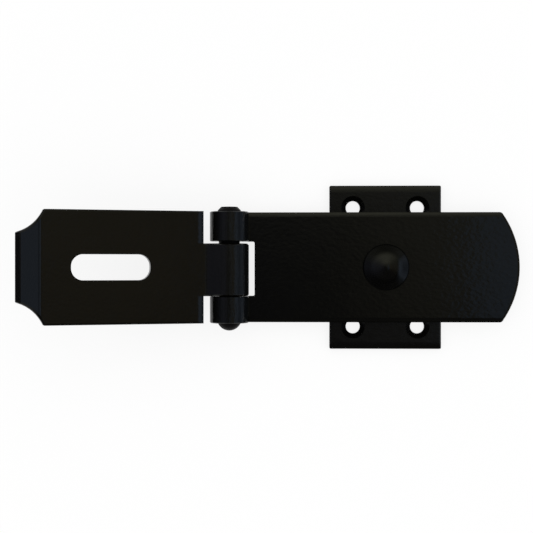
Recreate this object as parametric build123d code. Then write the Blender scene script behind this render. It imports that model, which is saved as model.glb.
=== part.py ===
"""Padlock locking bar: a hasp flap hinged to a bar that swivels on a screwed fixing plate.

The origin lies on the swivel axis, on the back face of the fixing plate. +X runs to the rounded
end of the bar, +Y along the hinge pin and +Z away from the door. Sizes are in millimetres.
"""

import os
from math import acos, asin, atan2, cos, degrees, radians, sin, sqrt, tan

from build123d import *

# Steel strip of the bar and the flap
strip_width = 44.2
strip_thickness = 3.5
edge_break = 0.3
face_edge_radius = 0.5
bar_roll_over_width = 1.9
bar_roll_over_drop = 0.3
tip_roll_over_width = 0.9
tip_roll_over_drop = 0.1
flap_roll_over_width = 0.9
flap_roll_over_drop = 0.1
running_gap = 0.1

# Fixing plate
plate_width = 45.0
plate_height = 66.0
plate_thickness = 3.0
plate_corner_radius = 0.6
plate_edge_break = 0.5
plate_roll_over_width = 2.8
plate_roll_over_drop = 0.35
plate_side_roll_over_width = 0.9
plate_side_roll_over_drop = 0.1
screw_spacing_x = 26.0
screw_spacing_y = 48.0
screw_hole_diameter = 5.7
screw_head_diameter = 9.6
screw_head_angle = 90.0

# Pivot rivet
rivet_head_diameter = 18.6
rivet_rim_height = 0.9
rivet_cone_diameter = 11.2
rivet_skirt_angle = 27.0
rivet_cone_angle = 12.0
rivet_crown_diameter = 4.4
rivet_blend_radius = 10.0
rivet_rim_bevel = 0.5
rivet_shank_diameter = 10.0
rivet_tail_diameter = 8.0
rivet_tail_spread = 1.3

# Locking bar
pivot_to_tip = 53.4
pivot_to_pin = 62.6
tip_radius = 37.5
tip_corner_radius = 1.6
notch_depth = 9.9
notch_corner_radius = 0.7
bar_roll_end_angle = 25.0
edge_radius_start = 6.5

# Hinge: the middle knuckle belongs to the flap, the outer two to the bar
knuckle_width = 20.8
knuckle_end_play = 1.0
knuckle_edge_break = 0.6
notch_offset = -0.6
pin_diameter = 8.4
pin_head_diameter = 9.2
round_head_height = 3.1
peened_head_height = 1.9
peened_flat_diameter = 6.6
peened_rim_height = 0.6
pin_fit_gap = 0.05
flap_pin_gap = 0.1

# Hasp flap, measured with the flap lying flat and the pin axis at the origin
flap_rest_angle = 17.0
flap_face_above_pin = 2.9
flap_shoulder = 11.0
flap_flat_length = 62.3
shoulder_roll_over_width = 2.4
shoulder_roll_over_drop = 0.4
strap_angle = 33.0
strap_bend_radius = 2.0
flap_seam_gap = 1.5
lip_angle = 33.0
lip_bend_radius = 3.0
lip_length = 8.0
lip_end_width = 26.2
scallop_radius = 16.3
scallop_start = 1.3
scallop_edge_radius = 0.9
slot_length = 30.5
slot_height = 10.0
slot_end_flat = 0.8
slot_to_shoulder = 21.0

# Heights and radii that follow from the sizes above
half_strip = strip_width / 2
bar_back = plate_thickness + running_gap
bar_face = bar_back + strip_thickness
rivet_seat = bar_face + running_gap
bar_bore_radius = pin_diameter / 2 + pin_fit_gap
bar_roll_radius = bar_bore_radius + strip_thickness
flap_bore_radius = pin_diameter / 2 + flap_pin_gap
flap_roll_radius = flap_bore_radius + strip_thickness
pin_height = bar_back + bar_roll_radius
notch_width = knuckle_width + knuckle_end_play
knuckle_offset = notch_offset - knuckle_end_play / 2 + running_gap
slot_corner_radius = (slot_height - slot_end_flat) / 2
tall = pin_height + strip_width + strip_thickness


def direction(angle):
    """Unit vector in a sketch at an angle in degrees."""
    return Vector(cos(radians(angle)), sin(radians(angle)))


def sharp_edges(solid):
    """Edges where two faces meet at a clear angle, without the tangent seams of bends."""
    kept = []
    for edge in solid.edges():
        middle = edge @ 0.5
        sides = [face for face in solid.faces() if any(edge.is_same(other) for other in face.edges())]
        if len(sides) == 2 and sides[0].normal_at(middle).get_angle(sides[1].normal_at(middle)) > 20:
            kept.append(edge)
    return kept


def across_strip(profile, width):
    """Extrude an X-Z profile evenly to both sides of the middle plane."""
    return extrude(Plane.XZ * profile, amount=width / 2, both=True)


def edge_roll_over_profile(width, drop):
    """What the soft roll-over of a sheared edge takes off, with the face's corner at the origin."""
    radius = (width**2 + drop**2) / (2 * drop)
    return Rectangle(2 * width, 2 * drop) - Pos(-width, -radius) * Circle(radius)


def edge_roll_over(length, width, drop):
    """Cutter for the roll-over of a straight edge along Y."""
    return across_strip(edge_roll_over_profile(width, drop), length)


def make_fixing_plate():
    plate = extrude(RectangleRounded(plate_width, plate_height, plate_corner_radius), plate_thickness)
    plate = chamfer(plate.faces().sort_by(Axis.Z)[-1].edges(), plate_edge_break)
    side_cutter = edge_roll_over(plate_height, plate_side_roll_over_width, plate_side_roll_over_drop)
    end_cutter = edge_roll_over(plate_width, plate_roll_over_width, plate_roll_over_drop)
    for turn in (0, 180):
        plate -= Rot(0, 0, turn) * Pos(plate_width / 2, 0, plate_thickness) * side_cutter
        plate -= Rot(0, 0, turn + 90) * Pos(plate_height / 2, 0, plate_thickness) * end_cutter
    screw_hole = CounterSinkHole(
        screw_hole_diameter / 2,
        screw_head_diameter / 2,
        plate_thickness,
        screw_head_angle,
    )
    for hole_place in GridLocations(screw_spacing_x, screw_spacing_y, 2, 2):
        plate -= Pos(0, 0, plate_thickness) * hole_place * screw_hole
    tail_hole = Cylinder(rivet_tail_diameter / 2 + running_gap / 2, tall)
    tail_seat = Cone(
        rivet_tail_diameter / 2 + rivet_tail_spread + running_gap / 2,
        rivet_tail_diameter / 2 + running_gap / 2,
        rivet_tail_spread,
        align=(Align.CENTER, Align.CENTER, Align.MIN),
    )
    return plate - tail_hole - tail_seat


def make_pivot_rivet():
    head_radius = rivet_head_diameter / 2
    cone_radius = rivet_cone_diameter / 2
    rim_top = rivet_seat + rivet_rim_height
    cone_base = rim_top + (head_radius - cone_radius) * tan(radians(rivet_skirt_angle))
    crown_radius = rivet_crown_diameter / 2
    crown_base = cone_base + (cone_radius - crown_radius) * tan(radians(rivet_cone_angle))
    crown_sphere = crown_radius / sin(radians(rivet_cone_angle))
    crown_centre = crown_base - crown_sphere * cos(radians(rivet_cone_angle))
    crown = CenterArc((0, crown_centre), crown_sphere, 90 - rivet_cone_angle, rivet_cone_angle)
    sides = Polyline(
        crown @ 1,
        (0, 0),
        (rivet_tail_diameter / 2 + rivet_tail_spread, 0),
        (rivet_tail_diameter / 2, rivet_tail_spread),
        (rivet_tail_diameter / 2, plate_thickness),
        (rivet_shank_diameter / 2, plate_thickness),
        (rivet_shank_diameter / 2, rivet_seat),
        (head_radius, rivet_seat),
        (head_radius, rim_top),
        (cone_radius, cone_base),
        crown @ 0,
    )
    half_section = make_face([sides, crown])
    rim_corner = half_section.vertices().sort_by_distance((head_radius, rim_top))[0]
    half_section = chamfer(rim_corner, rivet_rim_bevel)
    blend_corner = half_section.vertices().sort_by_distance((cone_radius, cone_base))[0]
    half_section = fillet(blend_corner, rivet_blend_radius)
    return revolve(Plane.XZ * half_section, Axis.Z)


def make_locking_bar():
    flat_start = -pivot_to_pin + edge_radius_start
    arc_start = pivot_to_tip - tip_radius + sqrt(tip_radius**2 - half_strip**2)
    outline = make_face(
        [
            Line((flat_start, -half_strip), (arc_start, -half_strip)),
            ThreePointArc((arc_start, -half_strip), (pivot_to_tip, 0), (arc_start, half_strip)),
            Line((arc_start, half_strip), (flat_start, half_strip)),
            Line((flat_start, half_strip), (flat_start, -half_strip)),
        ]
    )
    outline = fillet(outline.vertices().sort_by(Axis.X)[-2:], tip_corner_radius)
    bar = Pos(0, 0, bar_back) * extrude(outline, strip_thickness)
    face_edges = bar.faces().sort_by(Axis.Z)[-1].edges().sort_by(Axis.X)[1:]
    bar = fillet(face_edges, face_edge_radius)
    side_cutter = edge_roll_over(pivot_to_tip - flat_start, bar_roll_over_width, bar_roll_over_drop)
    for side in (90, 270):
        side_place = Pos((pivot_to_tip + flat_start) / 2, 0, bar_face) * Rot(0, 0, side)
        bar -= side_place * Pos(half_strip, 0, 0) * side_cutter
    tip_turn = degrees(asin(half_strip / tip_radius))
    tip_profile = Plane.XZ * Pos(tip_radius, 0) * edge_roll_over_profile(
        tip_roll_over_width,
        tip_roll_over_drop,
    )
    tip_cutter = Rot(0, 0, -tip_turn) * revolve(tip_profile, Axis.Z, 2 * tip_turn)
    bar -= Pos(pivot_to_tip - tip_radius, 0, bar_face) * tip_cutter

    roll_sweep = 270 + bar_roll_end_angle
    outer = CenterArc((-pivot_to_pin, pin_height), bar_roll_radius, 270, -roll_sweep)
    inner = CenterArc((-pivot_to_pin, pin_height), bar_bore_radius, 270, -roll_sweep)
    roll = make_face(
        [
            Line((flat_start, bar_back), outer @ 0),
            outer,
            Line(outer @ 1, inner @ 1),
            inner,
            Line(inner @ 0, (flat_start, bar_face)),
            Line((flat_start, bar_face), (flat_start, bar_back)),
        ]
    )
    bar += across_strip(roll, strip_width)

    notch_length = 2 * (bar_roll_radius + notch_depth)
    notch = Box(notch_length, notch_width, 2 * tall)
    notch = fillet(notch.edges().filter_by(Axis.Z).sort_by(Axis.X)[-2:], notch_corner_radius)
    bar -= Pos(-pivot_to_pin + notch_depth - notch_length / 2, notch_offset, 0) * notch
    bar -= Cylinder(rivet_shank_diameter / 2 + running_gap, 2 * tall)
    roll_edges = bar.edges().filter_by(GeomType.CIRCLE).filter_by(
        lambda edge: abs(edge.radius - bar_roll_radius) < 0.001
    )
    return chamfer(roll_edges, edge_break)


def make_hinge_pin():
    radius = pin_diameter / 2
    head_radius = pin_head_diameter / 2
    dome_radius = (head_radius**2 + round_head_height**2) / (2 * round_head_height)
    dome_middle = atan2(round_head_height, head_radius)
    half_section = make_face(
        [
            Polyline(
                (0, -half_strip - round_head_height),
                (0, half_strip + peened_head_height),
                (peened_flat_diameter / 2, half_strip + peened_head_height),
                (head_radius, half_strip + peened_rim_height),
                (head_radius, half_strip),
                (radius, half_strip),
                (radius, -half_strip),
                (head_radius, -half_strip),
            ),
            ThreePointArc(
                (head_radius, -half_strip),
                (
                    dome_radius * sin(dome_middle),
                    dome_radius * (1 - cos(dome_middle)) - half_strip - round_head_height,
                ),
                (0, -half_strip - round_head_height),
            ),
        ]
    )
    pin = revolve(half_section, Axis.Y)
    return Pos(-pivot_to_pin, 0, pin_height) * pin


def flap_profile():
    """Side view of the flap lying flat, from the end of the roll round to the end of the lip."""
    strap_normal = direction(90 + strap_angle)
    strap_bend = Vector(
        (
            (flap_face_above_pin + strap_bend_radius) * strap_normal.Y
            - flap_roll_radius
            - strap_bend_radius
        )
        / -strap_normal.X,
        flap_face_above_pin + strap_bend_radius,
    )
    lip_bend = Vector(-flap_shoulder - flap_flat_length, flap_face_above_pin + lip_bend_radius)
    roll_start = 90 + strap_angle
    roll_sweep = 360 - degrees(acos((flap_bore_radius - flap_seam_gap) / flap_roll_radius))
    sides = []
    for depth in (0, strip_thickness):
        roll = CenterArc((0, 0), flap_roll_radius - depth, roll_start - roll_sweep, roll_sweep)
        strap = CenterArc(strap_bend, strap_bend_radius + depth, strap_angle - 90, -strap_angle)
        bend = CenterArc(lip_bend, lip_bend_radius + depth, -90, -lip_angle)
        lip_end = bend @ 1 + direction(180 - lip_angle) * lip_length
        sides.append(
            [
                roll,
                Line(roll @ 1, strap @ 0),
                strap,
                Line(strap @ 1, bend @ 0),
                bend,
                Line(bend @ 1, lip_end),
            ]
        )
    face_side, back_side = sides
    roll_end = Line(face_side[0] @ 0, back_side[0] @ 0)
    lip_end = Line(face_side[-1] @ 1, back_side[-1] @ 1)
    return make_face([*face_side, *back_side, roll_end, lip_end])


def make_hasp_flap():
    flap = across_strip(flap_profile(), strip_width)
    side = Box(2 * flap_shoulder, strip_width, 2 * tall)
    for sign in (-1, 1):
        flap -= Pos(0, knuckle_offset + sign * (knuckle_width + strip_width) / 2, 0) * side
    roll_edges = flap.edges().filter_by(GeomType.CIRCLE).filter_by(
        lambda edge: abs(edge.radius - flap_roll_radius) < 0.001
    )
    flap = chamfer(roll_edges, knuckle_edge_break)
    slot = extrude(RectangleRounded(slot_length, slot_height, slot_corner_radius), tall, both=True)
    flap -= Pos(-flap_shoulder - slot_to_shoulder - slot_length / 2, 0, 0) * slot
    lip_start = flap_shoulder + flap_flat_length + lip_bend_radius * tan(radians(lip_angle / 2))
    lip_end = -flap.bounding_box().min.X
    start = Vector(scallop_start - lip_start, half_strip)
    end = Vector(-lip_end, lip_end_width / 2)
    chord = end - start
    out = Vector(chord.Y, -chord.X).normalized()
    centre = (start + end) * 0.5 + out * sqrt(scallop_radius**2 - (chord.length / 2) ** 2)
    for sign in (-1, 1):
        flap -= Pos(centre.X, sign * centre.Y, 0) * Cylinder(scallop_radius, 2 * tall)
    scallop_edges = []
    for edge in sharp_edges(flap):
        middle = edge @ 0.5
        rise = max(0, -middle.X - lip_start) * tan(radians(lip_angle))
        on_face_side = middle.Z > flap_face_above_pin - strip_thickness / 4 + rise
        off_scallop = Vector(middle.X - centre.X, abs(middle.Y) - centre.Y).length - scallop_radius
        if on_face_side and abs(off_scallop) < 0.01:
            scallop_edges.append(edge)
    flap = fillet(scallop_edges, scallop_edge_radius)
    blade_edges = [edge for edge in sharp_edges(flap) if edge.center().X < -flap_shoulder - edge_break]
    flap = chamfer(blade_edges, edge_break)
    shoulder_cutter = edge_roll_over(strip_width, shoulder_roll_over_width, shoulder_roll_over_drop)
    for sign in (-1, 1):
        outside = knuckle_offset + sign * (knuckle_width / 2 + half_strip)
        flap -= Pos(-flap_shoulder, outside, flap_face_above_pin) * shoulder_cutter
    side_cutter = edge_roll_over(flap_flat_length, flap_roll_over_width, flap_roll_over_drop)
    for side in (90, 270):
        side_place = Pos(-flap_shoulder - flap_flat_length / 2, 0, flap_face_above_pin) * Rot(0, 0, side)
        flap -= side_place * Pos(half_strip, 0, 0) * side_cutter
    return flap


def place_flap(flap):
    """Hang the flap on the hinge pin, raised as it rests."""
    return Pos(-pivot_to_pin, 0, pin_height) * Rot(0, flap_rest_angle, 0) * flap


parts = {
    "fixing_plate": make_fixing_plate(),
    "pivot_rivet": make_pivot_rivet(),
    "locking_bar": make_locking_bar(),
    "hinge_pin": make_hinge_pin(),
    "hasp_flap": place_flap(make_hasp_flap()),
}
os.makedirs("parts", exist_ok=True)
for name, part in parts.items():
    export_step(part, f"parts/{name}.step")
    print(name, round(part.volume), part.bounding_box())
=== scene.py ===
from math import cos, radians, sin

import bpy
from mathutils import Matrix, Vector

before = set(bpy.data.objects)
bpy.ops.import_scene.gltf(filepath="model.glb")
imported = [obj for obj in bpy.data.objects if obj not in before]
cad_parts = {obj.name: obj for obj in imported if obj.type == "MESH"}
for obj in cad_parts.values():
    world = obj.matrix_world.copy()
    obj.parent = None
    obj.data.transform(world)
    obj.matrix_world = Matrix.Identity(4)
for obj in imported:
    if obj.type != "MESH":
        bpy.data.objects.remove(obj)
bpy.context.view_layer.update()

# Places in metres: the hinge pin, the bar's face and the middle of the picture
PIN_X = -0.0626
PIN_Z = 0.01085
BAR_FACE_Z = 0.0066
MIDDLE_X = -0.0479
MIDDLE_Y = 0.0003

# White sheet under the part, in metres: half its width, its level, where it fades to plain white
FLOOR_REACH = 0.22
FLOOR_LEVEL = -0.0003
FLOOR_FADE = (0.13, 0.21)

# Share of plain white in the sheet where the camera sees it and where gloss mirrors it
SEEN_WHITE = 0.82
MIRRORED_WHITE = 0.5

# Camera: metres to the target, degrees, millimetres
CAMERA_DISTANCE = 0.430
CAMERA_TILT = 1.5
CAMERA_LENS = 72.27
SENSOR_WIDTH = 36.0

# Orange peel: how its flow is turned and drawn out, and the longer waves as shares of the peel
PEEL_TURN = 30.0
PEEL_STRETCH = (0.7, 1.0, 1.0)
WAVE_SCALE = 0.25
WAVE_HEIGHT = 0.6

# Rolling marks: noise scale round the roll, stretch along the pin, metres off the pin where they fade
MARK_SCALE = 11.0
MARK_STRETCH = 14.0
MARK_FADE = (0.0081, 0.0095)

# Clouds in the base colour and the film of the roughness: noise scale and the part of it that is used
CLOUD_SCALE = 60.0
CLOUD_SPAN = (0.30, 0.70)
FILM_SCALE = 420.0
FILM_SPAN = (0.3, 0.7)

# Soft boxes that gloss mirrors, by direction: place and size across X and Y, edge, colour.
# A negative colour darkens the boxes that it lies over.
STUDIO_BOXES = [
    ((0.00, 0.00), (0.55, 0.55), 2.0, (0.028, 0.026, 0.024)),
    ((0.00, -0.01), (0.07, 0.07), 2.0, (-0.045, -0.045, -0.040)),
    ((0.03, 0.43), (0.50, 0.25), 2.0, (0.80, 0.80, 0.60)),
    ((0.14, 0.03), (0.10, 0.13), 2.0, (0.12, 0.115, 0.08)),
    ((0.219, 0.00), (0.06, 0.20), 20.0, (0.05, 0.11, 0.21)),
    ((0.22, 0.00), (0.05, 0.20), 2.0, (0.05, 0.09, 0.16)),
    ((0.39, 0.00), (0.18, 0.20), 2.0, (0.26, 0.225, 0.145)),
    ((0.84, -0.05), (0.27, 0.50), 8.0, (0.35, 0.44, 0.58)),
    ((0.65, -0.05), (0.08, 0.50), 2.0, (0.10, 0.15, 0.20)),
    ((0.89, -0.05), (0.08, 0.50), 2.0, (-0.19, -0.24, -0.32)),
    ((-0.50, 0.05), (0.36, 0.36), 2.0, (0.19, 0.205, 0.28)),
    ((0.05, -0.38), (0.40, 0.16), 2.0, (0.05, 0.047, 0.04)),
]

# Pale walls that gloss mirrors: colour, and the directions over which they fade upwards and sideways
WALL_LIGHT = (0.5, 0.5, 0.5)
WALL_TOP = (0.15, 0.60)
WALL_SIDE = (0.2, 0.6)


def link(tree, source, target):
    tree.links.new(source, target)


def feed(tree, socket, value):
    """Set a socket to a number or a colour, or join it to another socket."""
    if isinstance(value, bpy.types.NodeSocket):
        link(tree, value, socket)
    else:
        socket.default_value = value


def math_node(tree, operation, *values):
    node = tree.nodes.new("ShaderNodeMath")
    node.operation = operation
    for socket, value in zip(node.inputs, values):
        feed(tree, socket, value)
    return node.outputs[0]


def vector_node(tree, operation, *values):
    node = tree.nodes.new("ShaderNodeVectorMath")
    node.operation = operation
    for socket, value in zip(node.inputs, values):
        feed(tree, socket, value)
    return node


def noise(tree, vector, scale, detail, rough):
    node = tree.nodes.new("ShaderNodeTexNoise")
    node.inputs["Scale"].default_value = scale
    node.inputs["Detail"].default_value = detail
    node.inputs["Roughness"].default_value = rough
    link(tree, vector, node.inputs["Vector"])
    return node.outputs["Fac"]


def ramp(tree, value, stops):
    """Colour ramp with (position, colour) stops."""
    node = tree.nodes.new("ShaderNodeValToRGB")
    points = node.color_ramp.elements
    while len(points) < len(stops):
        points.new(0.5)
    for point, (position, colour) in zip(points, stops):
        point.position = position
        point.color = (*colour, 1.0)
    link(tree, value, node.inputs["Fac"])
    return node.outputs["Color"]


def map_range(tree, value, span, low, high, smooth=False):
    """Map a span of the value to the numbers from low to high."""
    node = tree.nodes.new("ShaderNodeMapRange")
    node.interpolation_type = "SMOOTHSTEP" if smooth else "LINEAR"
    node.inputs["From Min"].default_value = span[0]
    node.inputs["From Max"].default_value = span[1]
    node.inputs["To Min"].default_value = low
    node.inputs["To Max"].default_value = high
    link(tree, value, node.inputs["Value"])
    return node.outputs["Result"]


def orange_peel(tree, place, scale, depth):
    """Height in metres of the coating's orange peel, drawn out a little along a slant."""
    flow = tree.nodes.new("ShaderNodeMapping")
    flow.inputs["Rotation"].default_value = (0.0, 0.0, radians(PEEL_TURN))
    flow.inputs["Scale"].default_value = PEEL_STRETCH
    link(tree, place, flow.inputs["Vector"])
    peel = noise(tree, flow.outputs["Vector"], scale, detail=2.0, rough=0.4)
    waves = noise(tree, place, scale * WAVE_SCALE, detail=1.0, rough=0.4)
    height = math_node(tree, "MULTIPLY_ADD", waves, WAVE_HEIGHT, peel)
    return math_node(tree, "MULTIPLY", height, depth)


def rolling_marks(tree, place, depth):
    """Height in metres of the fine lines that rolling left along the hinge knuckles."""
    split = tree.nodes.new("ShaderNodeSeparateXYZ")
    link(tree, place, split.inputs[0])
    across = math_node(tree, "SUBTRACT", split.outputs["X"], PIN_X)
    above = math_node(tree, "SUBTRACT", split.outputs["Z"], PIN_Z)
    turn = math_node(tree, "ARCTAN2", above, across)
    spread = tree.nodes.new("ShaderNodeCombineXYZ")
    link(tree, turn, spread.inputs["X"])
    link(tree, math_node(tree, "MULTIPLY", split.outputs["Y"], MARK_STRETCH), spread.inputs["Y"])
    lines = noise(tree, spread.outputs[0], MARK_SCALE, detail=3.0, rough=0.6)
    radius = tree.nodes.new("ShaderNodeCombineXYZ")
    link(tree, across, radius.inputs["X"])
    link(tree, above, radius.inputs["Z"])
    off_pin = vector_node(tree, "LENGTH", radius.outputs[0]).outputs["Value"]
    on_roll = map_range(tree, off_pin, MARK_FADE, 1.0, 0.0, smooth=True)
    return math_node(tree, "MULTIPLY", math_node(tree, "MULTIPLY", lines, depth), on_roll)


def coated_steel(name, dark, light, peel, rough, gloss=0.3, marks=0.0):
    """Gloss black coating.

    It takes two base colours, the peel's scale and depth, the lowest and highest roughness, the
    specular level, and the depth of rolling marks where there are any. Depths are in metres.
    """
    material = bpy.data.materials.new(name)
    material.use_nodes = True
    tree = material.node_tree
    shader = tree.nodes["Principled BSDF"]
    place = tree.nodes.new("ShaderNodeTexCoord").outputs["Object"]

    height = orange_peel(tree, place, *peel)
    if marks:
        height = math_node(tree, "ADD", height, rolling_marks(tree, place, marks))
    bump = tree.nodes.new("ShaderNodeBump")
    bump.inputs["Strength"].default_value = 1.0
    bump.inputs["Distance"].default_value = 1.0
    link(tree, height, bump.inputs["Height"])
    link(tree, bump.outputs["Normal"], shader.inputs["Normal"])

    cloud = noise(tree, place, CLOUD_SCALE, detail=3.0, rough=0.55)
    film = noise(tree, place, FILM_SCALE, detail=2.0, rough=0.5)
    tones = ramp(tree, cloud, list(zip(CLOUD_SPAN, (dark, light))))
    link(tree, tones, shader.inputs["Base Color"])
    link(tree, map_range(tree, film, FILM_SPAN, *rough), shader.inputs["Roughness"])
    shader.inputs["Specular IOR Level"].default_value = gloss
    return material


def paint(node_name, material):
    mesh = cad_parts[node_name].data
    mesh.materials.clear()
    mesh.materials.append(material)


flap_coat = coated_steel(
    "flap_coat",
    dark=(0.0013, 0.0011, 0.0007),
    light=(0.0018, 0.0015, 0.0010),
    peel=(1000.0, 0.000045),
    rough=(0.13, 0.18),
    marks=0.00010,
)
bar_coat = coated_steel(
    "bar_coat",
    dark=(0.0014, 0.0014, 0.0012),
    light=(0.0019, 0.0019, 0.0016),
    peel=(800.0, 0.000034),
    rough=(0.05, 0.09),
    marks=0.00010,
)
plate_coat = coated_steel(
    "plate_coat",
    dark=(0.0011, 0.0010, 0.0009),
    light=(0.0016, 0.0014, 0.0012),
    peel=(900.0, 0.000030),
    rough=(0.17, 0.22),
)
rivet_coat = coated_steel(
    "rivet_coat",
    dark=(0.0009, 0.0009, 0.0008),
    light=(0.0013, 0.0013, 0.0011),
    peel=(700.0, 0.000025),
    rough=(0.13, 0.18),
)
pin_coat = coated_steel(
    "pin_coat",
    dark=(0.0030, 0.0025, 0.0026),
    light=(0.0044, 0.0037, 0.0038),
    peel=(800.0, 0.000040),
    rough=(0.30, 0.40),
    gloss=0.04,
)
paint("hasp_flap", flap_coat)
paint("locking_bar", bar_coat)
paint("fixing_plate", plate_coat)
paint("pivot_rivet", rivet_coat)
paint("hinge_pin", pin_coat)


def make_floor():
    """White sheet under the part, lifted towards plain white where it is seen or mirrored."""
    mesh = bpy.data.meshes.new("floor")
    corners = [
        (MIDDLE_X - FLOOR_REACH, -FLOOR_REACH, FLOOR_LEVEL),
        (MIDDLE_X + FLOOR_REACH, -FLOOR_REACH, FLOOR_LEVEL),
        (MIDDLE_X + FLOOR_REACH, FLOOR_REACH, FLOOR_LEVEL),
        (MIDDLE_X - FLOOR_REACH, FLOOR_REACH, FLOOR_LEVEL),
    ]
    mesh.from_pydata(corners, [], [(0, 1, 2, 3)])
    floor = bpy.data.objects.new("floor", mesh)
    bpy.context.scene.collection.objects.link(floor)
    material = bpy.data.materials.new("floor_white")
    material.use_nodes = True
    tree = material.node_tree
    shader = tree.nodes["Principled BSDF"]
    shader.inputs["Base Color"].default_value = (0.99, 0.99, 0.99, 1.0)
    shader.inputs["Roughness"].default_value = 1.0
    shader.inputs["Specular IOR Level"].default_value = 0.0
    white = tree.nodes.new("ShaderNodeEmission")
    path = tree.nodes.new("ShaderNodeLightPath")
    mirrored = math_node(
        tree,
        "MAXIMUM",
        path.outputs["Is Glossy Ray"],
        path.outputs["Is Transmission Ray"],
    )
    place = tree.nodes.new("ShaderNodeTexCoord").outputs["Object"]
    middle = (MIDDLE_X, 0.0, FLOOR_LEVEL)
    off_middle = vector_node(tree, "DISTANCE", place, middle).outputs["Value"]
    seen_lift = map_range(tree, off_middle, FLOOR_FADE, SEEN_WHITE, 1.0, smooth=True)
    seen_lift = math_node(tree, "MULTIPLY", seen_lift, path.outputs["Is Camera Ray"])
    mirrored_lift = math_node(tree, "MULTIPLY", mirrored, MIRRORED_WHITE)
    mix = tree.nodes.new("ShaderNodeMixShader")
    link(tree, math_node(tree, "MAXIMUM", seen_lift, mirrored_lift), mix.inputs["Fac"])
    link(tree, shader.outputs["BSDF"], mix.inputs[1])
    link(tree, white.outputs["Emission"], mix.inputs[2])
    link(tree, mix.outputs["Shader"], tree.nodes["Material Output"].inputs["Surface"])
    mesh.materials.append(material)


def soft_box(tree, way, place, size, edge, colour):
    """Light of one soft box overhead; a higher edge number gives it a clearer border."""
    off = vector_node(tree, "SUBTRACT", way, (*place, 0.0)).outputs["Vector"]
    off = vector_node(tree, "DIVIDE", off, (*size, 1.0)).outputs["Vector"]
    off = vector_node(tree, "MULTIPLY", off, (1.0, 1.0, 0.0)).outputs["Vector"]
    off = vector_node(tree, "LENGTH", off).outputs["Value"]
    fall = math_node(tree, "POWER", off, edge)
    level = math_node(tree, "EXPONENT", math_node(tree, "MULTIPLY", fall, -1.0))
    shine = vector_node(tree, "SCALE", colour)
    link(tree, level, shine.inputs["Scale"])
    return shine.outputs["Vector"]


def wall_light(tree, way):
    """Pale walls of the room, low down to both sides of the part along Y."""
    split = tree.nodes.new("ShaderNodeSeparateXYZ")
    link(tree, way, split.inputs[0])
    low = map_range(tree, split.outputs["Z"], WALL_TOP, 1.0, 0.0, smooth=True)
    aside = math_node(tree, "ABSOLUTE", split.outputs["Y"])
    beside = map_range(tree, aside, WALL_SIDE, 0.0, 1.0, smooth=True)
    shine = vector_node(tree, "SCALE", WALL_LIGHT)
    link(tree, math_node(tree, "MULTIPLY", low, beside), shine.inputs["Scale"])
    return shine.outputs["Vector"]


def make_world():
    """Plain white light all round; gloss mirrors a darker studio with soft boxes."""
    world = bpy.data.worlds.new("studio")
    bpy.context.scene.world = world
    world.use_nodes = True
    tree = world.node_tree
    plain = tree.nodes["Background"]
    plain.inputs["Color"].default_value = (1.0, 1.0, 1.0, 1.0)
    way = tree.nodes.new("ShaderNodeTexCoord").outputs["Generated"]
    shine = wall_light(tree, way)
    for box in STUDIO_BOXES:
        shine = vector_node(tree, "ADD", shine, soft_box(tree, way, *box)).outputs["Vector"]
    room = tree.nodes.new("ShaderNodeBackground")
    link(tree, shine, room.inputs["Color"])
    path = tree.nodes.new("ShaderNodeLightPath")
    mix = tree.nodes.new("ShaderNodeMixShader")
    link(tree, path.outputs["Is Glossy Ray"], mix.inputs["Fac"])
    link(tree, plain.outputs["Background"], mix.inputs[1])
    link(tree, room.outputs["Background"], mix.inputs[2])
    link(tree, mix.outputs["Shader"], tree.nodes["World Output"].inputs["Surface"])


def make_camera():
    """Camera almost straight above the part, with +Y up in the picture."""
    tilt = radians(CAMERA_TILT)
    target = Vector((MIDDLE_X, MIDDLE_Y, BAR_FACE_Z))
    place = target + Vector((sin(tilt), 0.0, cos(tilt))) * CAMERA_DISTANCE
    back = (place - target).normalized()
    right = Vector((0.0, 1.0, 0.0)).cross(back)
    up = back.cross(right)
    lens = bpy.data.cameras.new("camera")
    lens.sensor_width = SENSOR_WIDTH
    lens.lens = CAMERA_LENS
    camera = bpy.data.objects.new("camera", lens)
    turn = Matrix((right, up, back)).transposed().to_4x4()
    camera.matrix_world = Matrix.Translation(place) @ turn
    bpy.context.scene.collection.objects.link(camera)
    bpy.context.scene.camera = camera


make_floor()
make_world()
make_camera()

bpy.context.scene.view_settings.view_transform = "Standard"
